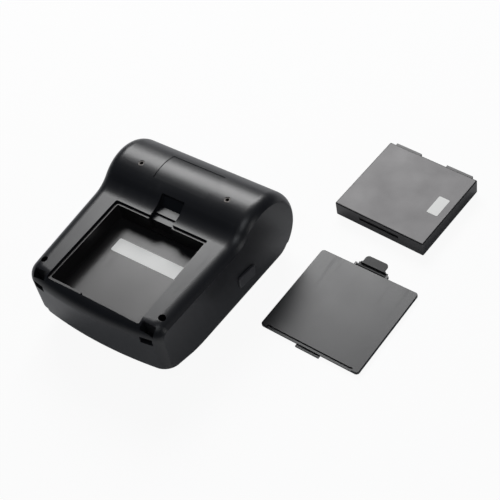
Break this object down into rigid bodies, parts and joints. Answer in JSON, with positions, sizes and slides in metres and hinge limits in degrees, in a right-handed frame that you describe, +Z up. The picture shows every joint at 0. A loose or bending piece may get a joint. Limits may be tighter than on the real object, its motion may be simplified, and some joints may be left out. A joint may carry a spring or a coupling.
{
  "type": "portable receipt printer",
  "caption": "Portable thermal receipt printer lying on its paper lid, underside up, with a round roll end, an open battery bay, and its battery and battery cover laid beside it.",
  "frame": {"origin": "on the table under the paper lid's flat outer face, on the printer's centre line, level with the platen roller's axis along Y", "axes": "+Z up out of the printer's underside as it lies upside down, +Y towards the round roll end, +X across the printer towards the loose battery and cover"},
  "size_m": [0.2048, 0.2295, 0.06],
  "materials": {
    "case_black": "satin moulded",
    "tray_black": "fine satin moulded",
    "inner_black": "moulded",
    "label_white": "printed label stock, blank",
    "battery_grey": "satin moulded",
    "battery_label": "matt film label",
    "brass": "plain",
    "steel": "plain",
    "aluminium": "plain",
    "ceramic": "glazed",
    "roller_rubber": "ground",
    "flap_rubber": "moulded",
    "gear_plastic": "moulded",
    "board_green": "coated laminate",
    "chip_black": "moulded",
    "light_clear": "clear moulded",
    "key_grey": "satin moulded"
  },
  "bodies": {
    "case": {"bottom_shell": "case_black", "top_shell": "case_black", "battery_tray": "tray_black", "tray_label": "label_white", "contact_block": "inner_black", "contact_blades": "brass", "roll_holder": "inner_black", "mechanism_frame": "steel", "head_sink": "aluminium", "thermal_head": "ceramic", "tear_bar": "steel", "drive_motor": "steel", "idler_pin": "steel", "main_board": "board_green", "board_components": "chip_black", "board_screws": "steel", "usb_socket": "steel", "key_switches": "chip_black", "light_pipes": "light_clear", "case_screws": "steel", "mechanism_screws": "steel", "clip_inserts": "brass", "paper_sensor": "chip_black", "release_spring": "steel", "hinge_pins": "steel"},
    "lid": {"paper_lid": "case_black", "platen_bushes": "gear_plastic"},
    "platen": {"platen_roller": "roller_rubber", "platen_shaft": "steel", "platen_gear": "gear_plastic"},
    "idler": {"idler_gear": "gear_plastic"},
    "pinion": {"motor_pinion": "brass"},
    "release_button": {"release_button": "key_grey"},
    "power_key": {"power_key": "key_grey"},
    "feed_key": {"feed_key": "key_grey"},
    "port_cover": {"port_cover": "flap_rubber"},
    "battery": {"battery_pack": "battery_grey", "battery_label": "battery_label", "battery_contacts": "brass", "battery_sticker": "label_white"},
    "battery_cover": {"battery_cover": "case_black"},
    "cover_latch": {"cover_latch": "tray_black"}
  },
  "joints": [
    {"name": "lid_hinge", "type": "hinge", "parent": "case", "child": "lid", "pos_m": [0, 0.05776, 0.01102], "axis": [1, 0, 0], "range_deg": [0, 80]},
    {"name": "platen_spin", "type": "hinge", "parent": "lid", "child": "platen", "pos_m": [0, 0, 0.0085], "axis": [1, 0, 0], "continuous": true},
    {"name": "idler_spin", "type": "hinge", "parent": "case", "child": "idler", "pos_m": [0.0433, -0.00848, 0.01861], "axis": [1, 0, 0], "continuous": true},
    {"name": "pinion_spin", "type": "hinge", "parent": "case", "child": "pinion", "pos_m": [0.0433, -0.01853, 0.02038], "axis": [1, 0, 0], "continuous": true},
    {"name": "release_press", "type": "slide", "parent": "case", "child": "release_button", "axis": [-0.9988, 0.0489, 0], "range_m": [0, 0.0018], "stiffness_N_per_m": 900, "springref_m": -0.001},
    {"name": "power_press", "type": "slide", "parent": "case", "child": "power_key", "axis": [0, 0.2344, 0.9722], "range_m": [0, 0.0008], "stiffness_N_per_m": 900, "springref_m": -0.001},
    {"name": "feed_press", "type": "slide", "parent": "case", "child": "feed_key", "axis": [0, 0.2344, 0.9722], "range_m": [0, 0.0008], "stiffness_N_per_m": 900, "springref_m": -0.001},
    {"name": "port_flap", "type": "hinge", "parent": "case", "child": "port_cover", "pos_m": [-0.05236, -0.03647, 0.03215], "axis": [-0.0489, 0.9988, 0], "range_deg": [0, 100]},
    {"name": "battery_lift", "type": "slide", "parent": "case", "child": "battery", "axis": [0, 0, 1], "range_m": [0, 0.05]},
    {"name": "cover_lift", "type": "slide", "parent": "case", "child": "battery_cover", "axis": [0, 0, 1], "range_m": [0, 0.05]},
    {"name": "latch_turn", "type": "hinge", "parent": "battery_cover", "child": "cover_latch", "pos_m": [0.11148, 0.06798, 0.0012], "axis": [0.9995, -0.0332, 0], "range_deg": [0, 12], "stiffness_Nm_per_rad": 0.02, "springref_deg": -5.73}
  ],
  "couplings": [
    {"joint": "idler_spin", "follows": "platen_spin", "ratio": -0.83333},
    {"joint": "pinion_spin", "follows": "platen_spin", "ratio": 2}
  ]
}
